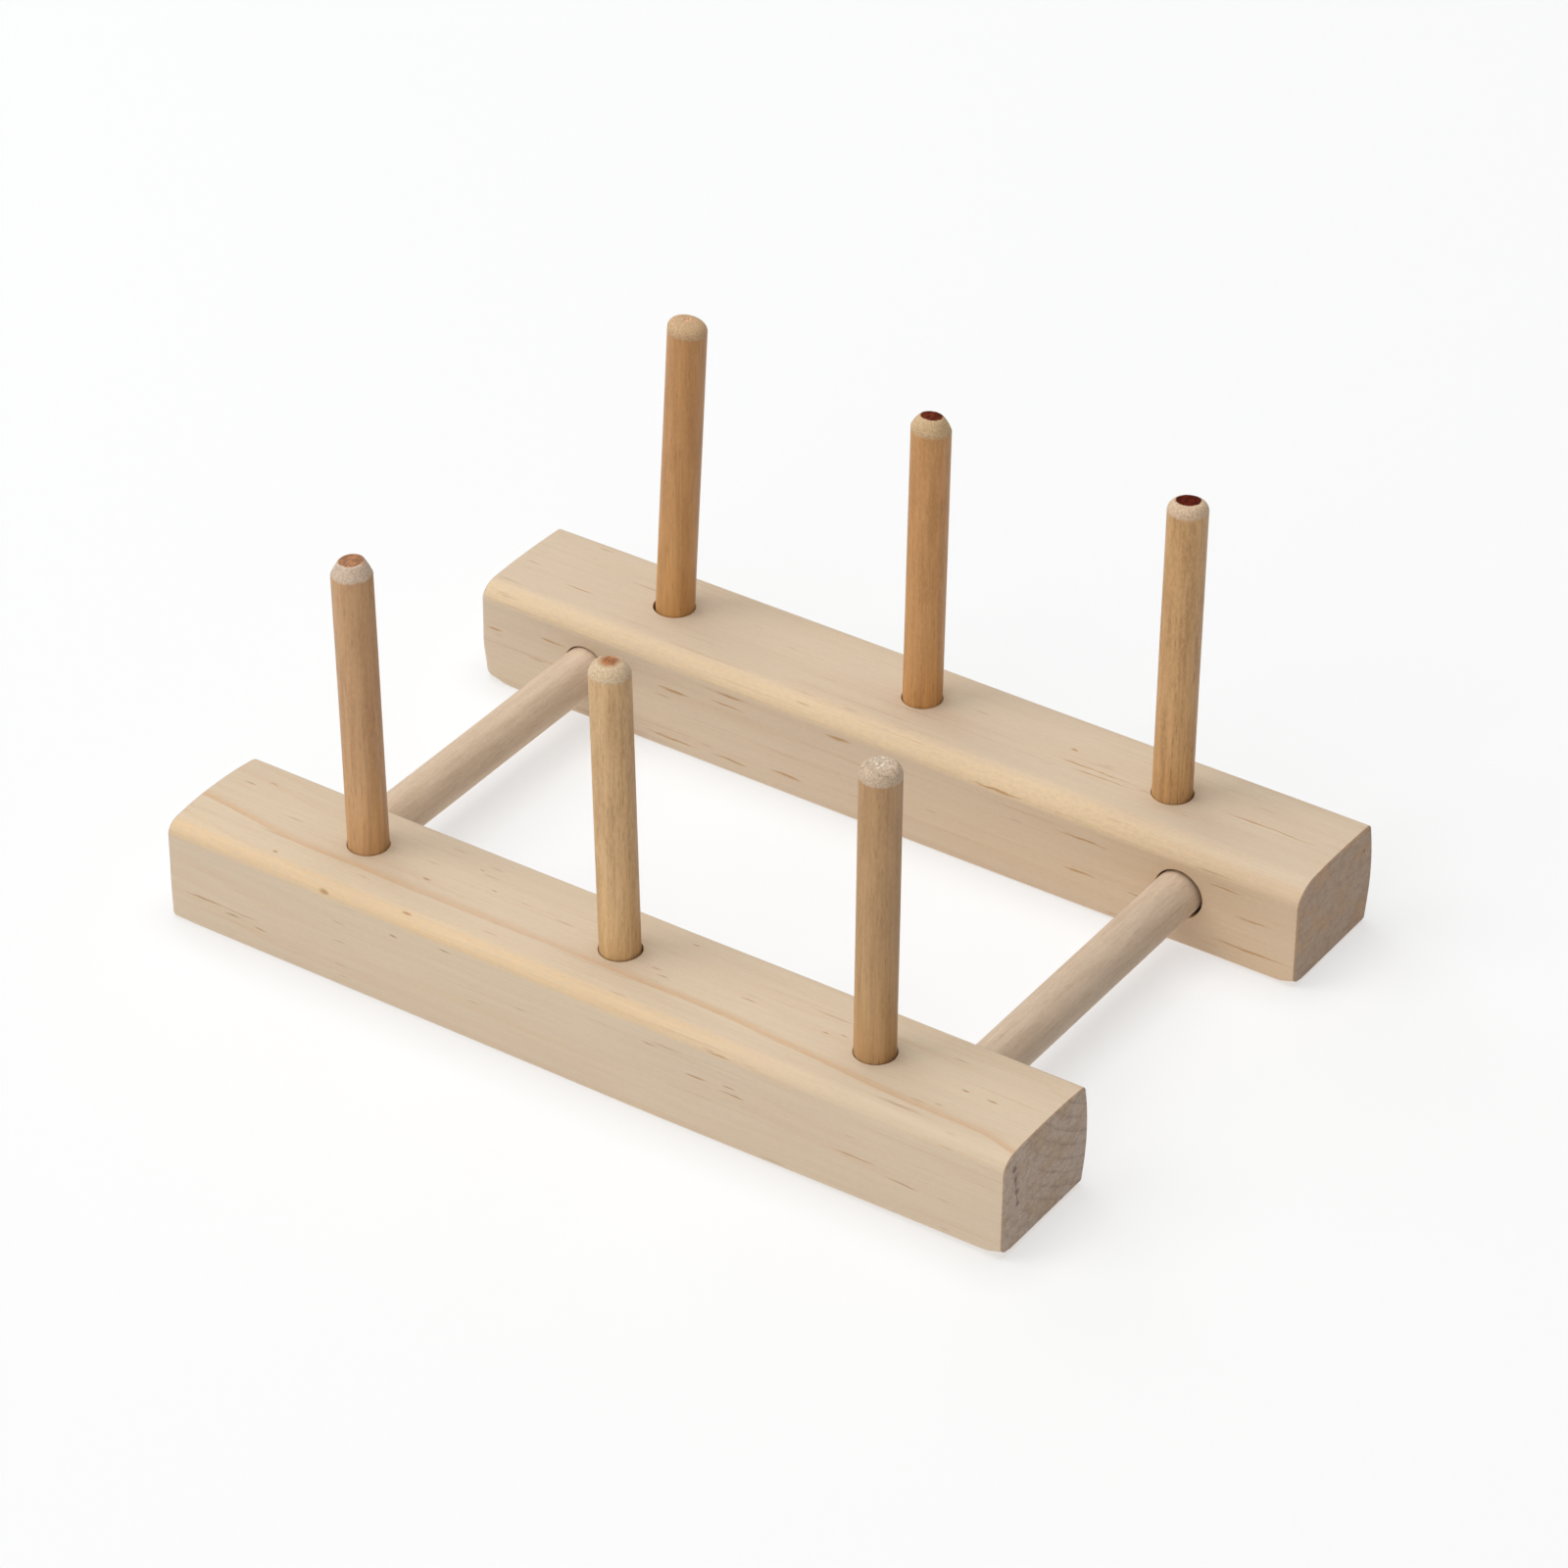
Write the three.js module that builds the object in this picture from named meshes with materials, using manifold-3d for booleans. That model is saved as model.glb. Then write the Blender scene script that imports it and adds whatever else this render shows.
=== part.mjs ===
// A wooden peg rack: two rails, three upright pegs in each, and two stretchers between them.
// Millimetres. +X runs along the rails, +Y from the front rail to the back rail, +Z up.
// The origin is on the surface that the rack stands on, under the middle of the whole rack.
import * as THREE from 'three';
import { mergeVertices } from 'three/addons/utils/BufferGeometryUtils.js';
import Module from 'manifold-3d';

const wasm = await Module();
wasm.setup();

// Rails: both are flat in front and underneath, crowned on top and a little bowed at the back.
const RAIL_WIDTH = 36; // across the fullest part of the bowed back face
const RAIL_HEIGHT = 28.5; // to the top of the crown
const BACK_BOW = 1.4; // swell of the back face at half height
const BACK_EDGE_RADIUS = 2; // of the top edge at the back
const BOTTOM_EDGE_RADIUS = 1.2;
const END_EASE = 1; // sanded edge around each end face
const RAIL_SPACING = 127; // between the middles of the rails

// Pegs and stretchers are dowels in blind holes.
const PEG_DIAMETER = 10;
const PEG_DEPTH = 18; // how deep a peg goes below the top of its rail
const STRETCHER_DIAMETER = 12;
const STRETCHER_DEPTH = 18; // how deep a stretcher goes into each rail
const STRETCHER_HEIGHT = 14.5; // of its axis above the ground
const HOLE_CLEARANCE = 0.35; // all round a dowel, and under its end
const DOWEL_SIDES = 32;
const DOWEL_END_CHAMFER = 0.8;
const TIP_STEPS = 5;

const MATERIALS = {
  pine: new THREE.MeshStandardMaterial({ color: 0xd9c4a8, roughness: 0.7, metalness: 0 }),
  peg: new THREE.MeshStandardMaterial({ color: 0xb98d5f, roughness: 0.6, metalness: 0 }),
  stretcher: new THREE.MeshStandardMaterial({ color: 0xd0b896, roughness: 0.65, metalness: 0 }),
};

// Tip shapes: height of the worked part, radius of the flat left on top, and how round the
// shoulder is, from 0 for a straight chamfer to 1 for a quarter of an ellipse.
const TIPS = {
  steepChamfer: { height: 3.8, flat: 3.1, roundness: 0.15 },
  softChamfer: { height: 3, flat: 2.8, roundness: 0.5 },
  highChamfer: { height: 3.5, flat: 2.9, roundness: 0.35 },
  broadDome: { height: 2.8, flat: 3.3, roundness: 0.75 },
  lowDome: { height: 2.5, flat: 3.3, roundness: 0.7 },
  fullDome: { height: 2.7, flat: 2, roundness: 1 },
};

// crown is the rise of a rail's top along its middle, and frontEdge says how far the rounding of
// its top front edge goes across the top and down the front. The pegs were drilled and fitted by
// hand. x and y are a peg's place from the middle of its rail, tall is its height above the rail,
// and right and back are its lean in degrees.
const RAILS = [
  {
    name: 'front_rail',
    length: 236,
    x: -1,
    y: -RAIL_SPACING / 2,
    inside: 1,
    crown: 1.2,
    frontEdge: { across: 5, down: 4.5 },
    pegs: [
      { name: 'front_peg_left', x: -72, y: 1, tall: 79.3, right: -1, back: -0.8, tip: TIPS.steepChamfer },
      { name: 'front_peg_middle', x: 1.5, y: 0, tall: 79, right: -1.2, back: -0.7, tip: TIPS.softChamfer },
      { name: 'front_peg_right', x: 72, y: 0, tall: 78.4, right: 0, back: 0, tip: TIPS.broadDome },
    ],
  },
  {
    name: 'back_rail',
    length: 238,
    x: 0,
    y: RAIL_SPACING / 2,
    inside: -1,
    crown: 0.8,
    frontEdge: { across: 8, down: 5.5 },
    pegs: [
      { name: 'back_peg_left', x: -72.5, y: 1, tall: 83, right: 1.9, back: 1.1, tip: TIPS.fullDome },
      { name: 'back_peg_middle', x: 1, y: 1.5, tall: 80.4, right: 0.3, back: 0.2, tip: TIPS.highChamfer },
      { name: 'back_peg_right', x: 73, y: 0.5, tall: 82.4, right: 0.2, back: 0, tip: TIPS.lowDome },
    ],
  },
];

const STRETCHERS = [
  { name: 'left_stretcher', x: -87 },
  { name: 'right_stretcher', x: 86 },
];

// Lathe and extrusion axes turned to the rack's axes.
const LATHE_TO_UP = new THREE.Matrix4().makeRotationX(Math.PI / 2);
const SECTION_TO_RAIL = new THREE.Matrix4().makeBasis(
  new THREE.Vector3(0, 1, 0),
  new THREE.Vector3(0, 0, 1),
  new THREE.Vector3(1, 0, 0),
);

function toSolid(geometry) {
  const bare = geometry.clone();
  bare.deleteAttribute('normal');
  bare.deleteAttribute('uv');
  const merged = mergeVertices(bare);
  return new wasm.Manifold(
    new wasm.Mesh({
      numProp: 3,
      vertProperties: new Float32Array(merged.attributes.position.array),
      triVerts: new Uint32Array(merged.index.array),
    }),
  );
}

function toGeometry(solid) {
  const mesh = solid.getMesh();
  const geometry = new THREE.BufferGeometry();
  geometry.setAttribute('position', new THREE.BufferAttribute(mesh.vertProperties, 3));
  geometry.setIndex(new THREE.BufferAttribute(mesh.triVerts, 1));
  geometry.computeVertexNormals();
  return geometry;
}

function namedMesh(name, geometry, material) {
  const mesh = new THREE.Mesh(geometry, material);
  mesh.name = name;
  return mesh;
}

// The section is drawn with Y across and Z up, from the underside round the back to the front.
function railSection({ crown, frontEdge }) {
  const front = -RAIL_WIDTH / 2;
  const back = RAIL_WIDTH / 2 - BACK_BOW;
  const shoulder = RAIL_HEIGHT - crown;
  const low = BOTTOM_EDGE_RADIUS;
  const high = BACK_EDGE_RADIUS;
  const { across, down } = frontEdge;
  const section = new THREE.Shape();
  section.moveTo(front + low, 0);
  section.lineTo(back - low, 0);
  section.absarc(back - low, low, low, -Math.PI / 2, 0, false);
  section.quadraticCurveTo(back + 2 * BACK_BOW, RAIL_HEIGHT / 2, back, shoulder - high);
  section.absarc(back - high, shoulder - high, high, 0, Math.PI / 2, false);
  section.quadraticCurveTo(0, shoulder + 2 * crown, front + across, shoulder);
  section.absellipse(front + across, shoulder - down, across, down, Math.PI / 2, Math.PI, false, 0);
  section.lineTo(front, low);
  section.absarc(front + low, low, low, Math.PI, 1.5 * Math.PI, false);
  return section;
}

function railBlank(rail) {
  const depth = rail.length - 2 * END_EASE;
  const blank = new THREE.ExtrudeGeometry(railSection(rail), {
    depth,
    steps: 1,
    curveSegments: 6,
    bevelEnabled: true,
    bevelThickness: END_EASE,
    bevelSize: END_EASE,
    bevelOffset: -END_EASE,
    bevelSegments: 2,
  });
  blank.translate(0, 0, -depth / 2);
  return blank.applyMatrix4(SECTION_TO_RAIL);
}

// A dowel along +Z whose foot is at z = -depth. Its tip is worked, or else it ends as its foot does.
function dowel(radius, depth, height, tip) {
  const outline = [
    new THREE.Vector2(0, -depth),
    new THREE.Vector2(radius - DOWEL_END_CHAMFER, -depth),
    new THREE.Vector2(radius, -depth + DOWEL_END_CHAMFER),
  ];
  if (tip) {
    outline.push(...tipOutline(radius, height, tip));
  } else {
    outline.push(new THREE.Vector2(radius, height - DOWEL_END_CHAMFER));
    outline.push(new THREE.Vector2(radius - DOWEL_END_CHAMFER, height));
  }
  outline.push(new THREE.Vector2(0, height));
  return new THREE.LatheGeometry(outline, DOWEL_SIDES).applyMatrix4(LATHE_TO_UP);
}

function tipOutline(radius, height, tip) {
  const points = [];
  for (let step = 0; step <= TIP_STEPS; step += 1) {
    const part = step / TIP_STEPS;
    const turn = (part * Math.PI) / 2;
    const inward = THREE.MathUtils.lerp(part, 1 - Math.cos(turn), tip.roundness);
    const upward = THREE.MathUtils.lerp(part, Math.sin(turn), tip.roundness);
    const across = THREE.MathUtils.lerp(radius, tip.flat, inward);
    points.push(new THREE.Vector2(across, height - tip.height * (1 - upward)));
  }
  return points;
}

// A straight-sided cutter along +Z, from the bottom of a blind hole to well outside the wood.
function holeCutter(diameter, depth) {
  const length = 2 * (depth + HOLE_CLEARANCE);
  return new THREE.CylinderGeometry(
    diameter / 2 + HOLE_CLEARANCE,
    diameter / 2 + HOLE_CLEARANCE,
    length,
    DOWEL_SIDES,
  ).applyMatrix4(LATHE_TO_UP);
}

// Where a peg's axis meets the top of its rail, and how it leans, in the rail's own frame.
function pegPlace(peg) {
  const place = new THREE.Object3D();
  place.position.set(peg.x, peg.y, RAIL_HEIGHT);
  place.rotation.set(
    -THREE.MathUtils.degToRad(peg.back),
    THREE.MathUtils.degToRad(peg.right),
    0,
  );
  place.updateMatrix();
  return place;
}

// A stretcher's place in a rail's own frame: +Z of the cutter is turned to point along Y.
function stretcherPlace(rail, stretcher) {
  const place = new THREE.Object3D();
  place.position.set(stretcher.x - rail.x, (rail.inside * RAIL_WIDTH) / 2, STRETCHER_HEIGHT);
  place.rotation.set(Math.PI / 2, 0, 0);
  place.updateMatrix();
  return place;
}

function railGeometry(rail) {
  let solid = toSolid(railBlank(rail));
  for (const peg of rail.pegs) {
    const cutter = holeCutter(PEG_DIAMETER, PEG_DEPTH).applyMatrix4(pegPlace(peg).matrix);
    solid = solid.subtract(toSolid(cutter));
  }
  for (const stretcher of STRETCHERS) {
    const cutter = holeCutter(STRETCHER_DIAMETER, STRETCHER_DEPTH);
    cutter.applyMatrix4(stretcherPlace(rail, stretcher).matrix);
    solid = solid.subtract(toSolid(cutter));
  }
  return toGeometry(solid);
}

function pegMesh(peg) {
  const mesh = namedMesh(peg.name, dowel(PEG_DIAMETER / 2, PEG_DEPTH, peg.tall, peg.tip), MATERIALS.peg);
  const place = pegPlace(peg);
  mesh.position.copy(place.position);
  mesh.rotation.copy(place.rotation);
  return mesh;
}

// A rail with its pegs, as one group standing on the ground.
function railGroup(rail) {
  const group = new THREE.Group();
  group.position.set(rail.x, rail.y, 0);
  group.add(namedMesh(rail.name, railGeometry(rail), MATERIALS.pine));
  for (const peg of rail.pegs) {
    group.add(pegMesh(peg));
  }
  return group;
}

function stretcherMesh(stretcher) {
  const reach = RAIL_SPACING / 2 - RAIL_WIDTH / 2 + STRETCHER_DEPTH;
  const mesh = namedMesh(
    stretcher.name,
    dowel(STRETCHER_DIAMETER / 2, reach, reach),
    MATERIALS.stretcher,
  );
  mesh.position.set(stretcher.x, 0, STRETCHER_HEIGHT);
  mesh.rotation.set(Math.PI / 2, 0, 0);
  return mesh;
}

const rack = new THREE.Group();
for (const rail of RAILS) {
  rack.add(railGroup(rail));
}
for (const stretcher of STRETCHERS) {
  rack.add(stretcherMesh(stretcher));
}

export default rack;
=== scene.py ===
"""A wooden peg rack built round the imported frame: two rails, six pegs and two stretchers."""
import math

import bpy
import numpy as np
from mathutils import Matrix, Vector, noise


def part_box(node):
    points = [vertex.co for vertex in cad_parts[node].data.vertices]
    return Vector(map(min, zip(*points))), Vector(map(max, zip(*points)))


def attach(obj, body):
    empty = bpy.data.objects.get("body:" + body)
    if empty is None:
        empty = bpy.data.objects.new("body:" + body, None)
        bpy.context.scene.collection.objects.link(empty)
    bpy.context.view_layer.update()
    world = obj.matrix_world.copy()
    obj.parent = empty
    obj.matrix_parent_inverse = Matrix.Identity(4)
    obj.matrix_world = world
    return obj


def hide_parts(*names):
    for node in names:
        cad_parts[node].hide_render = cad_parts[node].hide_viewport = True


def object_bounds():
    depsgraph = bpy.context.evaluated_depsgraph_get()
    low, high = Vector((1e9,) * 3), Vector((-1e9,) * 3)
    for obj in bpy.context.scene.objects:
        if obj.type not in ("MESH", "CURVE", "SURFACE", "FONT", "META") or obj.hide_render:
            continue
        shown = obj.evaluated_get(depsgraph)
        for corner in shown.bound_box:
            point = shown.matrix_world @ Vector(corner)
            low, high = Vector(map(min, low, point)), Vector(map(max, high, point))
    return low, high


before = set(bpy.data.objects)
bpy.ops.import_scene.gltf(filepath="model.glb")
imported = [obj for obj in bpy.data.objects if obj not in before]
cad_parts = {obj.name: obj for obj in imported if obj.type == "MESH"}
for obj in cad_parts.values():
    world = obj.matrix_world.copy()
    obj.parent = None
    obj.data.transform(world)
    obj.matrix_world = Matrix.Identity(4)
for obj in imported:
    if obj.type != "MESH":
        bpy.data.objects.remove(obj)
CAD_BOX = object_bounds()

MM = 0.001  # every length below is in millimetres, and meshes are written in metres
UP = Vector((0, 0, 1))
SHARP = math.radians(38)


# ---------------------------------------------------------------- shape helpers


def ease(low, high, value):
    """0 below low, 1 above high, and smooth between them."""
    part = min(1.0, max(0.0, (value - low) / (high - low)))
    return part * part * (3 - 2 * part)


def lerp(pair, part):
    return pair[0] + (pair[1] - pair[0]) * part


def bumps(point, size, seed):
    """Smooth noise between -1 and 1 that changes over about size millimetres along each axis."""
    place = Vector([p / s for p, s in zip(point, size)])
    return noise.noise(place + Vector((seed, 2.3 * seed, -seed)))


def make_object(name, vertices, faces):
    """A smooth shaded mesh object from points in millimetres, with its hard edges kept."""
    mesh = bpy.data.meshes.new(name)
    mesh.from_pydata([Vector(v) * MM for v in vertices], [], faces)
    mesh.validate()
    made = bpy.data.objects.new(name, mesh)
    bpy.context.scene.collection.objects.link(made)
    finish_mesh(mesh)
    return made


def finish_mesh(mesh):
    mesh.polygons.foreach_set("use_smooth", [True] * len(mesh.polygons))
    mesh.set_sharp_from_angle(angle=SHARP)
    mesh.update()


def store(mesh, name, values):
    """Keeps one number for each vertex, for the materials to read."""
    found = mesh.attributes.new(name, "FLOAT", "POINT")
    found.data.foreach_set("value", np.array(values, np.float32))


def tube_faces(rings, around):
    """Faces between rings of equal size, and a fan on a middle point at each end."""
    faces = []
    for ring in range(rings - 1):
        for side in range(around):
            a, b = ring * around + side, ring * around + (side + 1) % around
            faces.append((a, b, b + around, a + around))
    first, last = rings * around, rings * around + 1
    top = (rings - 1) * around
    for side in range(around):
        following = (side + 1) % around
        faces.append((first, following, side))
        faces.append((last, top + side, top + following))
    return faces


class Axis:
    """The middle line of a turned CAD node, with its two ends and its radius, in millimetres."""

    def __init__(self, node):
        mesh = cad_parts[node].data
        points = np.array(sorted({tuple(round(c / MM, 4) for c in v.co) for v in mesh.vertices}))
        self.middle = points.mean(axis=0)
        spread = points - self.middle
        direction = np.linalg.eigh(spread.T @ spread)[1][:, -1]
        if direction[np.argmax(abs(direction))] < 0:
            direction = -direction
        along = spread @ direction
        off = np.linalg.norm(spread - np.outer(along, direction), axis=1)
        self.direction = Vector(direction)
        self.middle = Vector(self.middle)
        self.start, self.end, self.radius = float(along.min()), float(along.max()), float(off.max())
        # sideways points along the rack's X, as far as the lean allows
        self.sideways = (Vector((1, 0, 0)) - self.direction * self.direction.x).normalized()
        self.other = self.direction.cross(self.sideways)

    def point(self, along, across=0.0, turn=0.0):
        return (
            self.middle
            + self.direction * along
            + (self.sideways * math.cos(turn) + self.other * math.sin(turn)) * across
        )

    def meets(self, axis_index, level):
        """How far along the axis one coordinate reaches a level."""
        return (level - self.middle[axis_index]) / self.direction[axis_index]


# ---------------------------------------------------------------- rails

# Every pair is the value at the left end of the rail and at its right end. crown is the rise of
# the top along its middle, and bow the swell of the back face. across and down say how far the
# rounding of the top front edge goes, and back_edge and foot are the radii of the top edge at the
# back and of the bottom edges. end_top and end_foot are the easing of the end faces' upper and
# lower edges. thinner is how much less high the rail is at its right end, where the underside was
# planed up.
RAILS = {
    "front_rail": {
        "crown": (1.7, 1.0),
        "across": (4.0, 4.5),
        "down": (3.8, 4.2),
        "back_edge": (1.7, 1.2),
        "foot": (1.1, 0.9),
        "bow": 1.4,
        "end_top": (0.7, 0.5),
        "end_foot": (1.1, 0.8),
        "thinner": 1.0,
        "seed": 3.0,
    },
    "back_rail": {
        "crown": (0.7, 0.7),
        "across": (5.6, 7.8),
        "down": (4.4, 5.6),
        "back_edge": (1.8, 1.2),
        "foot": (1.2, 0.9),
        "bow": 1.4,
        "end_top": (0.9, 0.5),
        "end_foot": (2.8, 0.8),
        "thinner": 0.5,
        "seed": 11.0,
    },
}
STATION = 2.0  # between sections along a rail
END_ZONE = 6.0  # at each end, where the sections lie closer together
END_SECTIONS = (0.12, 0.27, 0.44, 0.62, 0.8)  # parts of the end zone
EASING_STEPS = 5  # round the edge of an end face
CAP_RINGS = (0.82, 0.6, 0.36, 0.14)  # parts of an end face
# The bottom edges swell near the ends, so that they stay wider than the easing of the end faces.
FOOT_SWELL_LENGTH = 9.0
FOOT_SWELL_SPARE = 0.3
# The lower front corner at the right end of each rail is sanded off: how far along X, Y and Z.
CORNER_CUT = Vector((6.0, 2.6, 1.9))
WAVE = 0.13  # how far a hand-sanded face wanders
WAVE_SIZE = (46, 13, 13)
FLAT_BELOW = 1.0  # a rail stands flat, so points lower than this don't wander up or down


def curve(count, path):
    """Points of a curve from its start up to, but not with, its end."""
    return [path(k / count) for k in range(count)]


def arc(count, middle, reach, start):
    """A quarter turn of an ellipse, anticlockwise from start, in quarters."""

    def path(part):
        turn = (start + part) * math.pi / 2
        return middle[0] + reach[0] * math.cos(turn), middle[1] + reach[1] * math.sin(turn)

    return curve(count, path)


def rail_section(shape, part, width, height, length):
    """A rail's outline, anticlockwise from the front of its underside, as (across, up) pairs."""
    crown, foot, across, down, edge = (
        lerp(shape[key], part) for key in ("crown", "foot", "across", "down", "back_edge")
    )
    from_end = min(part, 1 - part) * length
    swollen = lerp(shape["end_foot"], round(part)) + FOOT_SWELL_SPARE
    foot += (swollen - foot) * (1 - ease(0, FOOT_SWELL_LENGTH, from_end))
    bow = shape["bow"]
    back = width - bow
    middle, half = width / 2, width / 2

    def top(y):
        return height - crown * ((y - middle) / half) ** 2

    shoulder = top(back - edge)
    slope = -2 * crown * (across - middle) / half**2
    low_front = top(across) - down
    handles = (
        Vector((across, top(across))),
        Vector((across, top(across))) + Vector((-1, -slope)) * across * 0.55,
        Vector((0, low_front + down * 0.5)),
        Vector((0, low_front)),
    )

    def crowned(p):
        y = lerp((back - edge, across), p)
        return y, top(y)

    def rounding(p):
        a, b, c, d = handles
        q = 1 - p
        return tuple(a * q**3 + b * 3 * p * q**2 + c * 3 * p * p * q + d * p**3)

    outline = curve(12, lambda p: (lerp((foot, back - foot), p), 0.0))
    outline += arc(5, (back - foot, foot), (foot, foot), 3)
    outline += curve(
        14, lambda p: (back + bow * 4 * p * (1 - p), lerp((foot, shoulder - edge), p))
    )
    outline += arc(6, (back - edge, shoulder - edge), (edge, edge), 0)
    outline += curve(20, crowned)
    outline += curve(16, rounding)
    outline += curve(14, lambda p: (0.0, lerp((low_front, foot), p)))
    outline += arc(5, (foot, foot), (foot, foot), 2)
    return outline


def inset(outline, amounts):
    """Moves each point of a closed outline inwards by its own amount."""
    moved = []
    count = len(outline)
    for k, (y, z) in enumerate(outline):
        before, after = outline[k - 1], outline[(k + 1) % count]
        along = Vector((after[0] - before[0], after[1] - before[1])).normalized()
        moved.append((y - along.y * amounts[k], z + along.x * amounts[k]))
    return moved


def off_corner(point, corner):
    """Moves a point back to the sanded flat if it is beyond it."""
    slope = Vector((1 / CORNER_CUT.x, -1 / CORNER_CUT.y, -1 / CORNER_CUT.z))
    beyond = 1 + slope.dot(point - corner)
    return point - slope * (beyond / slope.length_squared) if beyond > 0 else point


def rail_blank(name):
    shape = RAILS[name]
    low, high = (corner / MM for corner in map(Vector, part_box(name)))
    length, width, height = high - low
    steps = round(length / STATION)
    vertices = []

    def place(along, outline, recess):
        for (y, z), back_off in zip(outline, recess):
            vertices.append((low.x + along + back_off, low.y + y, low.z + z))

    def end_rings(at_right):
        part = float(at_right)
        outline = rail_section(shape, part, width, height, length)
        easing = lerp(shape["end_foot"], part), lerp(shape["end_top"], part)
        reach = [lerp(easing, ease(2, 12, z)) for _, z in outline]
        rings = []
        for share in reversed(END_SECTIONS):
            near = END_ZONE * share / length
            section = rail_section(shape, 1 - near if at_right else near, width, height, length)
            rings.append((section, [lerp((r, END_ZONE), share) for r in reach]))
        for k in range(EASING_STEPS + 1):
            turn = math.radians(90 * k / EASING_STEPS)
            rings.append(
                (
                    inset(outline, [r * (1 - math.cos(turn)) for r in reach]),
                    [r * (1 - math.sin(turn)) for r in reach],
                )
            )
        face, level = rings[-1]
        centre = Vector((sum(p[0] for p in face), sum(p[1] for p in face))) / len(face)
        for share in CAP_RINGS:
            rings.append(([tuple(centre.lerp(Vector(p), share)) for p in face], level))
        return rings, centre

    left, left_centre = end_rings(False)
    right, right_centre = end_rings(True)
    for outline, recess in reversed(left):
        place(0.0, outline, recess)
    for k in range(1, steps):
        part = k / steps
        if END_ZONE - 0.5 < part * length < length - END_ZONE + 0.5:
            section = rail_section(shape, part, width, height, length)
            place(part * length, section, [0.0] * len(section))
    for outline, recess in right:
        place(length, outline, [-r for r in recess])
    around = len(outline)
    rings = len(vertices) // around
    vertices.append((low.x, low.y + left_centre.x, low.z + left_centre.y))
    vertices.append((high.x, low.y + right_centre.x, low.z + right_centre.y))

    seed = shape["seed"]
    middle = (low + high) / 2
    for k, v in enumerate(vertices):
        outward = Vector((0, v[1] - middle.y, v[2] - middle.z)).normalized()
        shift = WAVE * bumps(v, WAVE_SIZE, seed) - WAVE * 0.6
        if v[2] < FLAT_BELOW:
            outward.z = 0
        moved = Vector(v) + outward * shift
        planed = shape["thinner"] * ease(0.55, 1, (moved.x - low.x) / length)
        moved.z += planed * (1 - (moved.z - low.z) / height)
        vertices[k] = off_corner(moved, Vector((high.x, low.y, low.z + planed)))
    return make_object(name + "_shaped", vertices, tube_faces(rings, around))


HOLE_GAP = 0.1  # all round a dowel and under its end
HOLE_SIDES = 64
HOLE_ROUGHNESS = 0.05
HOLE_BUMPS = (1.6, 1.6, 4)  # size of the bumps on a hole's wall
# The worn mouth of a hole and the cutter outside it: how far out each ring lies, and how much
# wider it is than the hole.
MOUTH_RINGS = ((-1.6, 0.0), (-0.3, 0.0), (-0.1, 0.05), (0.05, 0.15), (9, 0.5))
RIM_OVERLAP = 0.1  # the crown and the wander put a hole's rim this far inside the rail's box
# Each hole is drilled a little off its dowel's middle and a little wide: sideways, the other way
# (down for a stretcher, back for a peg) and extra radius.
LOOSE = {
    ("front_rail", "front_peg_left"): (0.0, 0.0, 0.05),
    ("front_rail", "front_peg_middle"): (0.2, -0.05, 0.15),
    ("front_rail", "front_peg_right"): (0.08, -0.05, 0.05),
    ("front_rail", "left_stretcher"): (0.0, 0.0, 0.05),
    ("front_rail", "right_stretcher"): (0.0, 0.0, 0.05),
    ("back_rail", "back_peg_left"): (-0.3, 0.0, 0.25),
    ("back_rail", "back_peg_middle"): (-0.05, -0.05, 0.06),
    ("back_rail", "back_peg_right"): (0.12, 0.0, 0.08),
    ("back_rail", "left_stretcher"): (0.0, -0.1, 0.1),
    ("back_rail", "right_stretcher"): (0.35, -0.22, 0.42),
}
PEGS = {
    "front_rail": ("front_peg_left", "front_peg_middle", "front_peg_right"),
    "back_rail": ("back_peg_left", "back_peg_middle", "back_peg_right"),
}
STRETCHERS = ("left_stretcher", "right_stretcher")
AXES = {name: Axis(name) for name in (*PEGS["front_rail"], *PEGS["back_rail"], *STRETCHERS)}


def holes(name, low, high):
    """Each hole of a rail as its dowel, the axis number that it opens along, and its direction."""
    for peg in PEGS[name]:
        yield peg, 2, 1
    for stretcher in STRETCHERS:
        starts_inside = low.y < AXES[stretcher].point(AXES[stretcher].start)[1] < high.y
        yield stretcher, 1, 1 if starts_inside else -1


def drill(axis, bottom, mouth, loose, seed):
    """Points and faces of a cutter from the bottom of a blind hole out past its worn mouth."""
    across, other, extra = loose
    radius = axis.radius + HOLE_GAP + extra
    way = 1 if mouth > bottom else -1
    rings = [(bottom, radius)]
    rings += [(mouth + way * out, radius + wider) for out, wider in MOUTH_RINGS]
    if way < 0:
        rings.reverse()
    shift = axis.sideways * across + axis.other * other
    vertices = []
    for along, reach in rings:
        for side in range(HOLE_SIDES):
            turn = 2 * math.pi * side / HOLE_SIDES
            spot = (math.cos(turn) * 4, math.sin(turn) * 4, along)
            rough = HOLE_ROUGHNESS * bumps(spot, HOLE_BUMPS, seed)
            vertices.append(axis.point(along, reach + rough, turn) + shift)
    vertices.append(axis.point(rings[0][0]) + shift)
    vertices.append(axis.point(rings[-1][0]) + shift)
    return vertices, tube_faces(len(rings), HOLE_SIDES)


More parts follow.
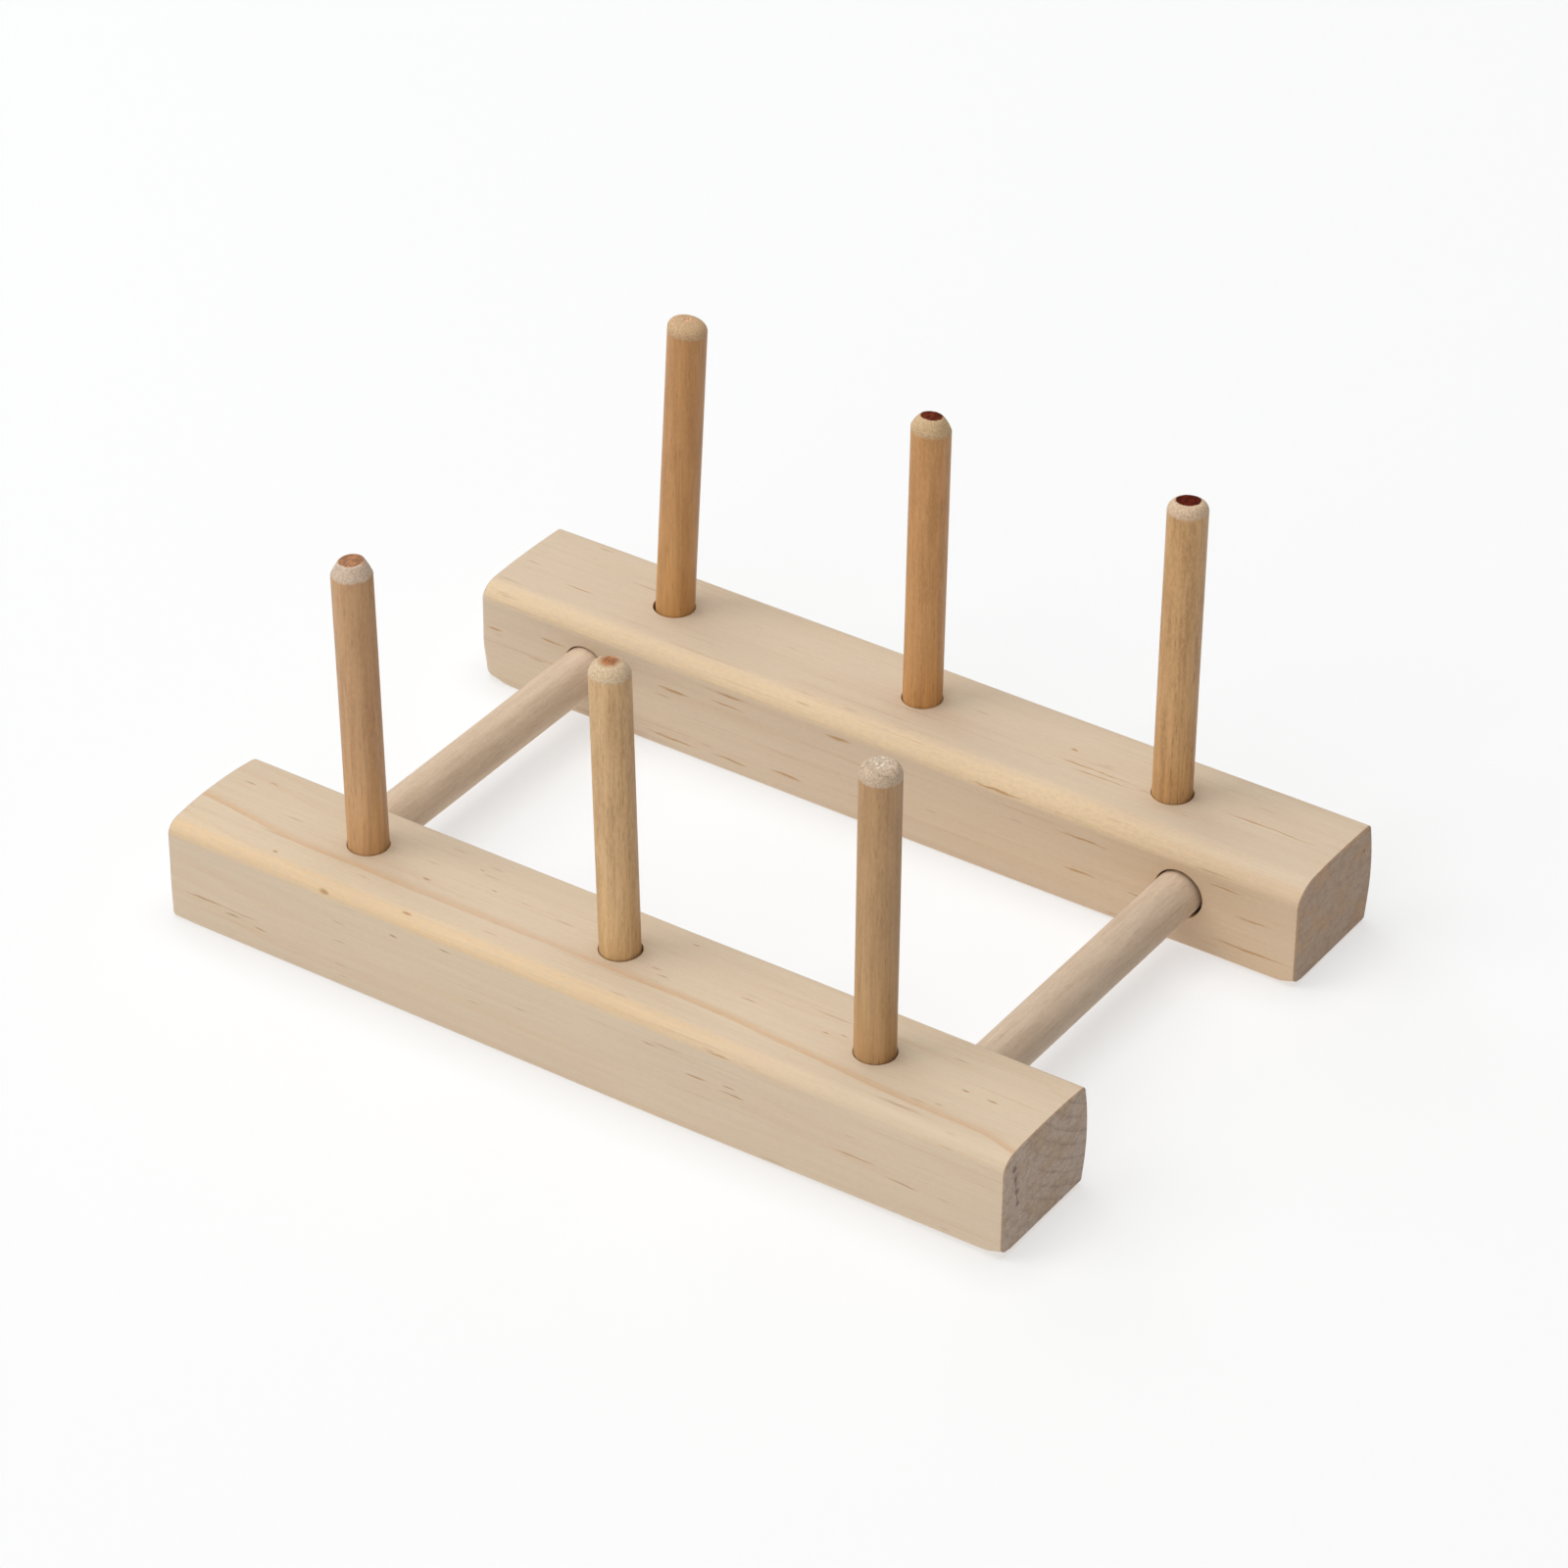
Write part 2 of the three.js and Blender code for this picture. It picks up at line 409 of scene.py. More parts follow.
def drilled_rail(name):
    blank = rail_blank(name)
    low, high = (Vector(corner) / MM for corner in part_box(name))
    vertices, faces = [], []
    for dowel_name, axis_index, way in holes(name, low, high):
        axis = AXES[dowel_name]
        end, side = (axis.start, high) if way > 0 else (axis.end, low)
        mouth = axis.meets(axis_index, side[axis_index] - way * RIM_OVERLAP)
        loose = LOOSE[name, dowel_name]
        points, more = drill(axis, end - way * HOLE_GAP, mouth, loose, len(faces))
        faces.extend(tuple(k + len(vertices) for k in face) for face in more)
        vertices.extend(points)
    cutter = make_object(name + "_drill", vertices, faces)
    boolean = blank.modifiers.new("holes", "BOOLEAN")
    boolean.operation, boolean.solver, boolean.object = "DIFFERENCE", "EXACT", cutter
    evaluated = blank.evaluated_get(bpy.context.evaluated_depsgraph_get())
    mesh = bpy.data.meshes.new_from_object(evaluated)
    blank.modifiers.clear()
    blank.data = mesh
    bpy.data.objects.remove(cutter)
    finish_mesh(mesh)
    mark_rail(mesh, name, low, high)
    return blank


def mark_rail(mesh, name, low, high):
    """Says how much of each vertex is rounded front edge, which is painted cream, partly as the
    wood's own colour and partly as a painted highlight, and how much is inside of a hole, where
    shade is painted.
    """
    rim = 0.9  # how far outside a dowel its hole's wall can be
    depth = 1.2  # where the inside of a hole begins
    insides = []
    for dowel_name, axis_index, way in holes(name, low, high):
        axis = AXES[dowel_name]
        if way > 0:
            insides.append((axis, axis.start - 1, axis.meets(axis_index, high[axis_index]) - depth))
        else:
            insides.append((axis, axis.meets(axis_index, low[axis_index]) + depth, axis.end + 1))
    edge, hole_shade = [], []
    for v in mesh.vertices:
        p = v.co / MM
        # both parts of the normal are 0.707 in the middle of the rounding
        edge.append(ease(0.05, 0.62, 1.414 * min(-v.normal.y, v.normal.z)))
        inside = 0.0
        for axis, bottom, mouth in insides:
            along = (p - axis.middle).dot(axis.direction)
            off = (p - axis.middle - axis.direction * along).length
            if bottom < along < mouth and off < axis.radius + rim:
                inside = 1.0
        hole_shade.append(inside)
    store(mesh, "edge", edge)
    store(mesh, "hole_shade", hole_shade)


# ---------------------------------------------------------------- dowels

# Each tip was shaped by hand: height of the worked part, radius of the flat, how round the
# shoulder is, the way its lower side faces, how far the flat tilts down to that side, how much
# further down the shoulder goes there, and how rough it is.
TIPS = {
    "front_peg_left": {
        "height": 3.8, "flat": 3.15, "round": 0.15,
        "way": -2.3, "tilt": 0.5, "lop": 0.0, "rough": 0.06,
    },
    "front_peg_middle": {
        "height": 2.9, "flat": 2.8, "round": 0.6,
        "way": 0.6, "tilt": 0.3, "lop": 0.05, "rough": 0.1,
    },
    "front_peg_right": {
        "height": 2.7, "flat": 3.3, "round": 0.75,
        "way": 0.6, "tilt": 0.2, "lop": 0.0, "rough": 0.2,
    },
    "back_peg_left": {
        "height": 2.6, "flat": 2.0, "round": 1.0,
        "way": 0.6, "tilt": 0.5, "lop": 0.2, "rough": 0.05,
    },
    "back_peg_middle": {
        "height": 3.5, "flat": 2.9, "round": 0.35,
        "way": 1.2, "tilt": 0.6, "lop": 0.25, "rough": 0.06,
    },
    "back_peg_right": {
        "height": 2.5, "flat": 3.3, "round": 0.7,
        "way": 2.0, "tilt": 0.6, "lop": 0.05, "rough": 0.06,
    },
}
SIDES = 72
TIP_STEPS = 16
FLAT_RINGS = (0.86, 0.66, 0.44, 0.2)  # parts of the flat's radius
RIM_DROP, RIM_PULL = 0.06, 0.02  # softening of the edge of the flat
FOOT_CHAMFER = 0.8
END_RING = 2.2  # how far inside a dowel's side the inner ring of its square-cut end is
BODY_SPACING = 1.6  # between rings along a dowel
DOWEL_WANDER = 0.05  # how far a dowel's radius strays
WANDER_SIZE = (5, 5, 34)
TIP_BUMPS = (1.1, 1.1, 0.8)  # size of the bumps on a rough tip
HEART = Vector((-0.3, 0.5))  # middle of the darker heart on a tip, sideways and back from the axis


def body_rings(start, end, radius):
    """(along, radius) pairs of the plain part of a dowel."""
    count = max(2, round((end - start) / BODY_SPACING))
    return [(start + (end - start) * k / count, radius) for k in range(count + 1)]


def tip_rings(end, radius, tip):
    """(along, radius) pairs from the shoulder of a tip to the inside of its flat."""
    rings = []
    for k in range(1, TIP_STEPS + 1):
        part = k / TIP_STEPS
        turn = part * math.pi / 2
        inward = lerp((part, 1 - math.cos(turn)), tip["round"])
        upward = lerp((part, math.sin(turn)), tip["round"])
        rings.append((end - tip["height"] * (1 - upward), lerp((radius, tip["flat"]), inward)))
    softened = [rings[0]]
    for before, here, after in zip(rings, rings[1:], rings[2:]):
        softened.append(tuple((b + 2 * h + a) / 4 for b, h, a in zip(before, here, after)))
    softened.append((rings[-1][0] - RIM_DROP, rings[-1][1] - RIM_PULL))
    return softened + [(end, tip["flat"] * share) for share in FLAT_RINGS]


def tip_drop(tip, worked, below, turn, reach, roughness):
    """How far a point of a worked tip lies below its even shape."""
    low_side = math.cos(turn - tip["way"])
    drop = tip["lop"] * low_side * below
    drop += tip["tilt"] * worked * (0.5 + 0.5 * low_side * reach / tip["flat"])
    return drop + worked * tip["rough"] * (0.5 + 0.5 * roughness)


def dowel(name, axis, tip, seed):
    """A turned piece with a square-cut foot, and at its other end a worked tip or another foot."""
    rings = [(axis.start, axis.radius - END_RING), (axis.start, axis.radius - FOOT_CHAMFER)]
    body_end = axis.end - (tip["height"] if tip else FOOT_CHAMFER)
    rings += body_rings(axis.start + FOOT_CHAMFER, body_end, axis.radius)
    if tip:
        rings += tip_rings(axis.end, axis.radius, tip)
    else:
        rings += [(axis.end, axis.radius - FOOT_CHAMFER), (axis.end, axis.radius - END_RING)]
    vertices, from_tip, from_axis = [], [], []
    for along, reach in rings:
        for side in range(SIDES):
            turn = 2 * math.pi * side / SIDES
            spot = (math.cos(turn) * 5, math.sin(turn) * 5, along)
            wander = DOWEL_WANDER * bumps(spot, WANDER_SIZE, seed) - DOWEL_WANDER * 0.4
            drop = 0.0
            if tip and along >= body_end - 0.001:
                worked = (along - body_end) / tip["height"]
                roughness = bumps(spot, TIP_BUMPS, seed + 5)
                drop = tip_drop(tip, worked, axis.end - along, turn, reach, roughness)
            vertices.append(axis.point(along - drop, max(0.1, reach + wander), turn))
            from_tip.append(axis.end - along)
            place = Vector((reach * math.cos(turn), reach * math.sin(turn)))
            from_axis.append((place - HEART).length if tip else reach)
    centre_drop = 0.5 * tip["tilt"] + 0.5 * tip["rough"] if tip else 0.0
    vertices.append(axis.point(axis.start))
    vertices.append(axis.point(axis.end - centre_drop))
    from_tip += [axis.end - axis.start, 0.0]
    from_axis += [0.0, HEART.length]
    made = make_object(name, vertices, tube_faces(len(rings), SIDES))
    store(made.data, "from_tip", from_tip)
    store(made.data, "from_axis", from_axis)
    return made


# ---------------------------------------------------------------- materials


def paint(red, green, blue):
    """A colour given as 0 to 255 on a screen, as the light that it stands for."""

    def light(value):
        part = value / 255
        return part / 12.92 if part <= 0.04045 else ((part + 0.055) / 1.055) ** 2.4

    return light(red), light(green), light(blue), 1.0


class Shader:
    """One material, with short ways to add nodes. Patterns are in millimetres of the rack."""

    def __init__(self, name):
        self.material = bpy.data.materials.new(name)
        self.material.use_nodes = True
        self.tree = self.material.node_tree
        self.surface = self.tree.nodes["Principled BSDF"]
        self.surface.inputs["Specular IOR Level"].default_value = 0.35
        place = self.tree.nodes.new("ShaderNodeTexCoord").outputs["Object"]
        self.at = self.vector("SCALE", place, scale=1 / MM)

    def feed(self, socket, value):
        if isinstance(value, bpy.types.NodeSocket):
            self.tree.links.new(value, socket)
        else:
            socket.default_value = value

    def vector(self, operation, first, second=None, third=None, scale=None):
        node = self.tree.nodes.new("ShaderNodeVectorMath")
        node.operation = operation
        self.feed(node.inputs[0], first)
        if second is not None:
            self.feed(node.inputs[1], second)
        if third is not None:
            self.feed(node.inputs[2], third)
        if scale is not None:
            node.inputs["Scale"].default_value = scale
        return node.outputs["Value" if operation == "LENGTH" else "Vector"]

    def math(self, operation, first, second=0.0, third=0.0, clamp=False):
        node = self.tree.nodes.new("ShaderNodeMath")
        node.operation, node.use_clamp = operation, clamp
        for socket, value in zip(node.inputs, (first, second, third)):
            self.feed(socket, value)
        return node.outputs[0]

    def ramp(self, value, low, high, start=0.0, end=1.0):
        """start below low, end above high, and smooth between them."""
        node = self.tree.nodes.new("ShaderNodeMapRange")
        node.interpolation_type = "SMOOTHSTEP"
        for socket, given in zip(node.inputs, (value, low, high, start, end)):
            self.feed(socket, given)
        return node.outputs[0]

    def stretched(self, size, seed, at=None):
        """The place on the wood, counted in steps of size along each axis."""
        start = (seed, seed * 1.7 + 3, 5 - seed * 0.6)
        return self.vector("MULTIPLY_ADD", at or self.at, tuple(1 / s for s in size), start)

    def noise(self, size, seed, detail=2.0, rough=0.5, output="Fac", at=None):
        node = self.tree.nodes.new("ShaderNodeTexNoise")
        self.feed(node.inputs["Vector"], self.stretched(size, seed, at))
        node.inputs["Scale"].default_value = 1.0
        node.inputs["Detail"].default_value = detail
        node.inputs["Roughness"].default_value = rough
        return node.outputs[output]

    def wander(self, size, seed, detail):
        """A slow shift along each axis, between about -0.5 and 0.5."""
        shift = self.noise(size, seed, detail, output="Color")
        return self.vector("SUBTRACT", shift, (0.5, 0.5, 0.5))

    def cells(self, size, seed, at=None):
        """Distance to the nearest of the scattered points, and that point's random numbers."""
        node = self.tree.nodes.new("ShaderNodeTexVoronoi")
        self.feed(node.inputs["Vector"], self.stretched(size, seed, at))
        node.inputs["Scale"].default_value = 1.0
        return node.outputs["Distance"], node.outputs["Color"]

    def parts(self, value):
        node = self.tree.nodes.new("ShaderNodeSeparateXYZ")
        self.feed(node.inputs[0], value)
        return node.outputs

    def stored(self, name):
        node = self.tree.nodes.new("ShaderNodeAttribute")
        node.attribute_name = name
        return node.outputs["Fac"]

    def product(self, first, second):
        return self.math("MULTIPLY", first, second)

    def mix(self, share, first, second):
        node = self.tree.nodes.new("ShaderNodeMix")
        node.data_type = "RGBA"
        self.feed(node.inputs[0], share)
        self.feed(node.inputs[6], first)
        self.feed(node.inputs[7], second)
        return node.outputs[2]

    def dashes(self, size, seed, thick, share, at=None):
        """Short dark canals scattered along the grain: 1 in the middle of each, 0 in clear wood."""
        distance, number = self.cells(size, seed, at)
        kept = self.ramp(self.parts(number)[0], 1 - share, 1 - share + 0.02)
        width = self.math("MULTIPLY_ADD", self.parts(number)[1], thick * 0.6, thick * 0.6)
        near = self.math("SUBTRACT", 1.0, self.math("DIVIDE", distance, width), clamp=True)
        return self.product(self.math("POWER", near, 0.7), kept)

    def streaks(self, marks, axes, at):
        """1 in the middle of each listed streak, 0 in clear wood. axes are those of its place."""
        nearest = None
        for along, second, length, half in marks:
            size, start = [0.0, 0.0, 0.0], [0.0, 0.0, 0.0]
            for axis, place, reach in zip(axes, (along, second), (length / 2, half)):
                size[axis], start[axis] = 1 / reach, -place / reach
            distance = self.vector("LENGTH", self.vector("MULTIPLY_ADD", at, size, start))
            nearest = distance if nearest is None else self.math("MINIMUM", nearest, distance)
        return self.ramp(nearest, 0.25, 1.0, 1.0, 0.0)

    def relief(self, height, strength, distance):
        node = self.tree.nodes.new("ShaderNodeBump")
        node.inputs["Strength"].default_value = strength
        node.inputs["Distance"].default_value = distance * MM
        self.feed(node.inputs["Height"], height)
        self.feed(self.surface.inputs["Normal"], node.outputs["Normal"])

    def finish(self, colour, roughness):
        self.feed(self.surface.inputs["Base Color"], colour)
        self.feed(self.surface.inputs["Roughness"], roughness)
        return self.material


# Resin streaks along the grain. On top: place along X, place along Y, length and half thickness.
# On the front face: place along X, height, length and half thickness.
FRONT_RAIL_TOP = (
    (-112, -58, 5, 0.3), (-107, -55, 4, 0.3), (-90, -76.6, 2, 0.7), (-49.5, -79, 4, 0.5),
    (-53, -66.5, 3, 0.35), (-44.5, -56, 2, 0.4), (-37, -61.5, 2, 0.35), (14, -52, 3, 0.35),
    (15, -67, 5, 0.3), (12, -65.5, 4, 0.25), (36.5, -63.5, 6, 0.3), (58, -64, 3, 0.3),
    (62, -62.8, 3, 0.3), (96, -64.5, 3, 0.35), (103, -64.5, 4, 0.4), (93.5, -72, 3, 0.25),
)
FRONT_RAIL_FACE = (
    (-100, 7.8, 6, 0.4), (-92, 7.0, 5, 0.4), (-107, 9.2, 20, 0.35), (-72.4, 25.3, 4, 0.6),
    (-52, 21.1, 3, 0.3), (-37, 22.8, 5, 0.3), (21, 20.4, 5, 0.3), (40, 24.9, 8, 0.3),
    (34, 16.3, 7.5, 0.45), (44, 15.4, 10, 0.25), (43, 17.2, 5, 0.25), (77, 12.4, 16, 0.4),
    (90, 10.2, 12, 0.35),
)
BACK_RAIL_TOP = (
    (44, 66.4, 3, 0.5), (52, 61.5, 30, 0.3), (56, 59.5, 22, 0.25), (100, 64, 35, 0.3),
    (-97, 57.6, 11, 0.4),
)
BACK_RAIL_FACE = (
    (-60, 17.9, 12, 0.5), (-43, 22.6, 13, 0.5), (-44, 19.6, 13, 0.35), (-11, 22.3, 10, 0.7),
    (-26, 5.6, 12, 0.6), (-43, 3.8, 13, 0.5), (-61, 3.5, 20, 0.35), (-97, 18.9, 10, 0.4),
    (-115, 16.2, 6, 0.4), (35, 24.4, 18, 0.5), (59, 19.8, 20, 0.35), (59, 10.1, 12, 0.45),
    (75, 9.5, 7, 0.35), (99, 21.0, 12, 0.45), (107, 14.5, 12, 0.35), (106, 5.8, 26, 0.5),
)
# Dark specks on the right-hand end faces: height, place along Y, length upwards and half thickness.
FRONT_RAIL_END = (
    (23.4, -77.3, 2.4, 1.3), (20.2, -76.6, 2.6, 0.8), (16.4, -76.0, 2.6, 1.2),
    (12.8, -75.5, 2.2, 1.1), (18.4, -76.3, 4.0, 0.3), (14.5, -75.7, 4.0, 0.3),
)
BACK_RAIL_END = ((22.0, 77.0, 1.8, 0.5),)

# Growth rings lie round a pith at (Y, Z) that runs outside the rail. drift is how the pith moves
# along X, and each bend shifts it across by a ramp along X: from, to, shift before, shift after.
# spacing, phase and sway place the rings, and main_ring is the one that shows strongly on top.
# The reach of the cream is where along X the cream of the rounded edge fades out; that cream is
# partly the earlywood's own colour and partly a painted highlight where the edge faces up towards
# the lights.
# warm is a ramp along X of how warm the front face is. fade, lines and end_rings are strengths. No
# ring has number -1.
PINE = {
    "front_rail": {
        "seed": 4.1,
        "pith": (-12.0, 74.0),
        "drift": (0.0, 0.0),
        "bends": ((-119, -84, 3.2, 0.0), (26, 96, 0.0, -3.8), (106, 119, 0.0, -2.6)),
        "spacing": 3.3,
        "phase": 0.17,
        "main_ring": 22,
        "sway": 0.7,
        "fade": 0.3,
        "clear": paint(218, 198, 171),
        "late": paint(210, 171, 130),
        "cream_and_highlight": paint(229, 196, 150),
        "highlight_reach": (10, 90),
        "end": paint(210, 191, 174),
        "end_dark": paint(160, 137, 122),
        "end_warm": paint(204, 178, 150),
        "end_rings": 0.5,
        "warm": None,
        "lines": 0.2,
        "mark": paint(178, 132, 88),
        "top_marks": FRONT_RAIL_TOP,
        "face_marks": FRONT_RAIL_FACE,
        "end_marks": FRONT_RAIL_END,
    },
    "back_rail": {
        "seed": 17.7,
        "pith": (66.0, -70.0),
        "drift": (0.01, -0.004),
        "bends": (),
        "spacing": 5.2,
        "phase": 0.6,
        "main_ring": -1,
        "sway": 3.0,
        "fade": 0.5,
        "clear": paint(217, 197, 171),
        "late": paint(204, 170, 136),
        "cream_and_highlight": paint(231, 202, 160),
        "highlight_reach": (60, 115),
        "end": paint(198, 174, 152),
        "end_dark": paint(168, 142, 122),
        "end_warm": paint(204, 170, 138),
        "end_rings": 0.2,
        "warm": (-70, 110, 0.0, 0.75),
        "lines": 0.35,
        "mark": paint(182, 134, 78),
        "top_marks": BACK_RAIL_TOP,
        "face_marks": BACK_RAIL_FACE,
        "end_marks": BACK_RAIL_END,
    },
}


def end_grain(s, wood, season, shake, from_end, high):
    """Colour and pores of the sawn ends: rings, mottling, dark spots and a burnished rim."""
    seed, y = wood["seed"], s.parts(s.at)[1]
    pores = s.noise((0.5, 1.0, 0.5), seed + 41, 3.0, 0.7)
    mottle = s.noise((3.0, 2.8, 1.5), seed + 37, 3.0, 0.6)
    patch = s.noise((9.0, 9.0, 6.0), seed + 43, 2.0)
    thin_rings = s.ramp(season, 0.6, 0.93)
    thin_rings = s.product(thin_rings, s.ramp(season, 0.95, 1.0, 1.0, 0.0))
    seen_rings = s.ramp(y, high.y - 30, high.y - 12, 0.3, 1.0)
    seen_rings = s.product(s.ramp(mottle, 0.3, 0.6, 0.35, 1.0), seen_rings)
    arcs = s.product(s.product(thin_rings, seen_rings), wood["end_rings"])
    grain = s.mix(s.ramp(patch, 0.42, 0.66), wood["end"], wood["end_warm"])
    grain = s.mix(s.ramp(mottle, 0.42, 0.68, 0.0, 0.45), grain, wood["end_dark"])
    grain = s.mix(arcs, grain, wood["end_dark"])
    grain = s.mix(s.ramp(pores, 0.42, 0.66, 0.35, 0.0), grain, paint(156, 130, 112))
    shaken = s.vector("MULTIPLY_ADD", shake, (0, 0.5, 0.5), s.at)
    spots = s.streaks(wood["end_marks"], (2, 1), shaken)
    grain = s.mix(s.product(spots, 0.66), grain, paint(108, 80, 84))
    rim = s.ramp(s.math("MULTIPLY_ADD", pores, 0.16, from_end), 0.1, 0.34)
    grain = s.mix(s.product(rim, 0.55), grain, paint(170, 130, 96))
    return grain, pores


def pine(name):
    wood = PINE[name]
    seed = wood["seed"]
    s = Shader("pine_" + name)
    x, y, z = s.parts(s.at)
    # growth rings round a pith that runs outside the rail, nearly along it
    sway = s.wander((130, 24, 24), seed, 1.0)
    ripple = s.wander((22, 5, 5), seed + 3, 2.0)
    bent = s.vector("MULTIPLY_ADD", sway, (0, wood["sway"], wood["sway"]), s.at)
    bent = s.vector("MULTIPLY_ADD", ripple, (0, 0.7, 0.7), bent)
    _, by, bz = s.parts(bent)
    off_y = s.math("MULTIPLY_ADD", x, -wood["drift"][0], s.math("SUBTRACT", by, wood["pith"][0]))
    for bend in wood["bends"]:
        off_y = s.math("SUBTRACT", off_y, s.ramp(x, *bend))
    off_z = s.math("MULTIPLY_ADD", x, -wood["drift"][1], s.math("SUBTRACT", bz, wood["pith"][1]))
    radius = s.math("SQRT", s.math("ADD", s.product(off_y, off_y), s.product(off_z, off_z)))
    year = s.math("MULTIPLY_ADD", radius, 1 / wood["spacing"], wood["phase"])
    season = s.math("FRACT", year)
    rings = s.math("POWER", s.ramp(season, 0.1, 0.93), 1.3)
    rings = s.product(rings, s.ramp(season, 0.95, 1.0, 1.0, 0.0))
    fade = s.ramp(s.noise((70, 6, 6), seed + 7, 1.0), 0.42, 0.66, 0.03, wood["fade"])
    main = s.math("COMPARE", s.math("FLOOR", year), wood["main_ring"], 0.5)
    on_top = s.ramp(z, 20, 26)
    late = s.product(rings, s.math("MAXIMUM", fade, s.product(main, on_top)))
    # fibres, fine lines and mottling
    fibre = s.noise((26, 0.55, 0.55), seed + 11, 4.0, 0.6, at=bent)
    band = s.noise((150, 3.4, 3.4), seed + 13, 3.0, 0.55, at=bent)
    speck = s.noise((1.6, 0.8, 0.8), seed + 17, 3.0, 0.7)
    cloud = s.noise((38, 14, 14), seed + 19, 2.0)
    streak = s.ramp(s.noise((70, 1.1, 1.1), seed + 23, 2.0, at=bent), 0.62, 0.74)
    canal = s.dashes((30, 1.9, 1.9), seed + 29, 0.2, 0.16, at=bent)
    small_canal = s.dashes((13, 1.5, 1.5), seed + 31, 0.2, 0.2, at=bent)
    shake = s.wander((7, 1.5, 1.5), seed + 33, 2.0)
    shaken = s.vector("MULTIPLY_ADD", shake, (0, 1.2, 1.2), s.at)
    low, high = (Vector(corner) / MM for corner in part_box(name))
    on_face = s.ramp(y, low.y + 2, low.y + 3.5, 1.0, 0.0)
    marks = s.math(
        "MAXIMUM",
        s.product(s.streaks(wood["top_marks"], (0, 1), shaken), s.ramp(z, 24, 25.5)),
        s.product(s.streaks(wood["face_marks"], (0, 2), shaken), on_face),
    )
    from_end = s.math("MINIMUM", s.math("SUBTRACT", x, low.x), s.math("SUBTRACT", high.x, x))
    end = s.ramp(s.math("MULTIPLY_ADD", speck, 0.2, from_end), 0.45, 0.65, 1.0, 0.0)
    edge, hole_shade = s.stored("edge"), s.stored("hole_shade")
    along = s.math("SUBTRACT", 1.0, end)

    colour = s.mix(s.product(late, 0.85), wood["clear"], wood["late"])
    if wood["warm"]:
        warm = s.product(on_face, s.ramp(x, *wood["warm"]))
        colour = s.mix(warm, colour, paint(215, 184, 148))
    colour = s.mix(s.ramp(band, 0.4, 0.75, 0.0, 0.16), colour, paint(208, 180, 148))
    colour = s.mix(s.ramp(cloud, 0.3, 0.7, 0.0, 0.3), colour, paint(212, 190, 168))
    # the rounded front edge is painted cream: partly the earlywood's own colour, partly a painted
    # highlight where the edge faces up and forward to the lights
    reach = s.ramp(x, *wood["highlight_reach"], 1.0, 0.15)
    cream_and_highlight_share = s.product(s.product(edge, reach), s.ramp(speck, 0.3, 0.65, 0.35, 0.85))
    colour = s.mix(cream_and_highlight_share, colour, wood["cream_and_highlight"])
    colour = s.mix(s.product(streak, wood["lines"]), colour, paint(190, 146, 112))
    canals = s.product(s.math("MAXIMUM", canal, small_canal), 0.5)
    colour = s.mix(canals, colour, paint(166, 122, 82))
    colour = s.mix(s.product(marks, 0.82), colour, wood["mark"])
    colour = s.mix(s.ramp(fibre, 0.3, 0.7, 0.12, 0.0), colour, paint(180, 146, 114))
    colour = s.mix(s.ramp(speck, 0.35, 0.68, 0.0, 0.12), colour, paint(232, 214, 188))
    grain, pores = end_grain(s, wood, season, shake, from_end, high)
    colour = s.mix(end, colour, grain)
    # painted shade: the walls inside the holes are darkened to a brown
    colour = s.mix(s.product(hole_shade, 0.5), colour, paint(150, 110, 76))

    roughness = s.math("MULTIPLY_ADD", fibre, 0.25, 0.46)
    roughness = s.math("MULTIPLY_ADD", end, 0.22, roughness)
    height = s.product(s.math("MULTIPLY_ADD", speck, 0.4, fibre), along)
    height = s.math("SUBTRACT", height, s.product(canal, 0.5))
    height = s.math("MULTIPLY_ADD", s.product(pores, end), 1.6, height)
    s.relief(height, 0.55, 0.16)
    return s.finish(colour, roughness)


